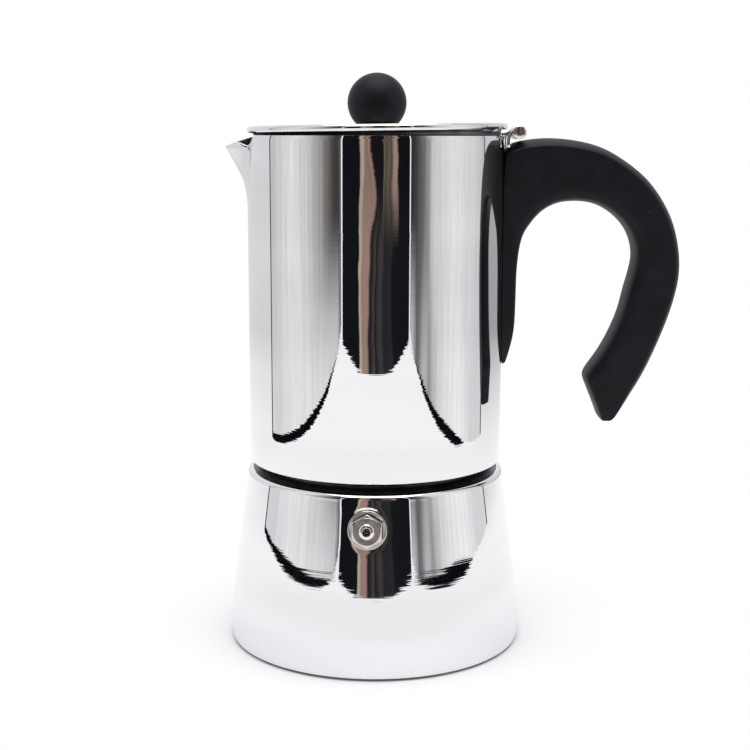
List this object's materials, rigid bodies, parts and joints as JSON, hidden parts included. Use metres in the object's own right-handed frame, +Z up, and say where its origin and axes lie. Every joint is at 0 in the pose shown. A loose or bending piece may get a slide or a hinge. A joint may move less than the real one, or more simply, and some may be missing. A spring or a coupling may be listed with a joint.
{
  "type": "moka pot",
  "caption": "Stovetop moka pot with a conical boiler, a screw-on cylindrical collector with a V spout, a hinged lid with a ball knob and an open curved handle.",
  "frame": {"origin": "centre of the base disc's underside, on the surface the pot stands on", "axes": "+Z up along the pot's axis, +X towards the handle, -X towards the spout, -Y the side with the safety valve"},
  "size_m": [0.1528, 0.1006, 0.1921],
  "materials": {
    "polished_steel": "mirror-polished stainless steel",
    "brushed_base": "brushed stainless steel",
    "turned_steel": "turned stainless steel",
    "inner_steel": "satin stainless steel",
    "spring_steel": "drawn spring wire",
    "silicone": "moulded translucent silicone",
    "black_plastic": "fine-grained moulded phenolic",
    "brass": "turned brass"
  },
  "bodies": {
    "boiler": {"base_disc": "brushed_base", "boiler_shell": "polished_steel", "neck_ring": "turned_steel", "valve_boss": "turned_steel", "valve_body": "turned_steel", "valve_nut": "turned_steel", "valve_spring": "spring_steel", "valve_retainer": "turned_steel"},
    "valve_pin": {"valve_plunger": "turned_steel"},
    "funnel": {"funnel": "inner_steel", "funnel_filter": "inner_steel"},
    "seal": {"gasket": "silicone", "filter_plate": "inner_steel"},
    "collector": {"collector_shell": "polished_steel", "spout": "polished_steel", "collector_floor": "inner_steel", "thread_ring": "turned_steel", "riser_tube": "inner_steel", "riser_cap": "inner_steel", "handle_bracket": "inner_steel", "handle": "black_plastic", "handle_screw": "turned_steel", "hinge_bracket": "polished_steel", "hinge_pin": "turned_steel"},
    "lid": {"lid": "polished_steel", "lid_strap": "polished_steel", "knob": "black_plastic", "knob_insert": "brass", "knob_screw": "turned_steel"}
  },
  "joints": [
    {"name": "collector_rise", "type": "slide", "parent": "boiler", "child": "seal", "axis": [0, 0, 1], "range_m": [0, 0.00801]},
    {"name": "collector_turn", "type": "hinge", "parent": "seal", "child": "collector", "pos_m": [0, 0, 0.0627], "axis": [0, 0, 1], "range_deg": [0, 720]},
    {"name": "funnel_lift", "type": "slide", "parent": "boiler", "child": "funnel", "axis": [0, 0, 1], "range_m": [0, 0.00801]},
    {"name": "lid_hinge", "type": "hinge", "parent": "collector", "child": "lid", "pos_m": [0.047, 0, 0.17275], "axis": [0, 1, 0], "range_deg": [0, 105]},
    {"name": "valve_lift", "type": "slide", "parent": "boiler", "child": "valve_pin", "axis": [-0.0518, -0.9889, 0.1389], "range_m": [0, 0.001], "stiffness_N_per_m": 800, "springref_m": -0.002, "deforming": ["valve_spring"]}
  ],
  "couplings": [
    {"joint": "collector_rise", "follows": "collector_turn", "m_per_rad": 0.00063662},
    {"joint": "funnel_lift", "follows": "collector_turn", "m_per_rad": 0.00063662}
  ]
}
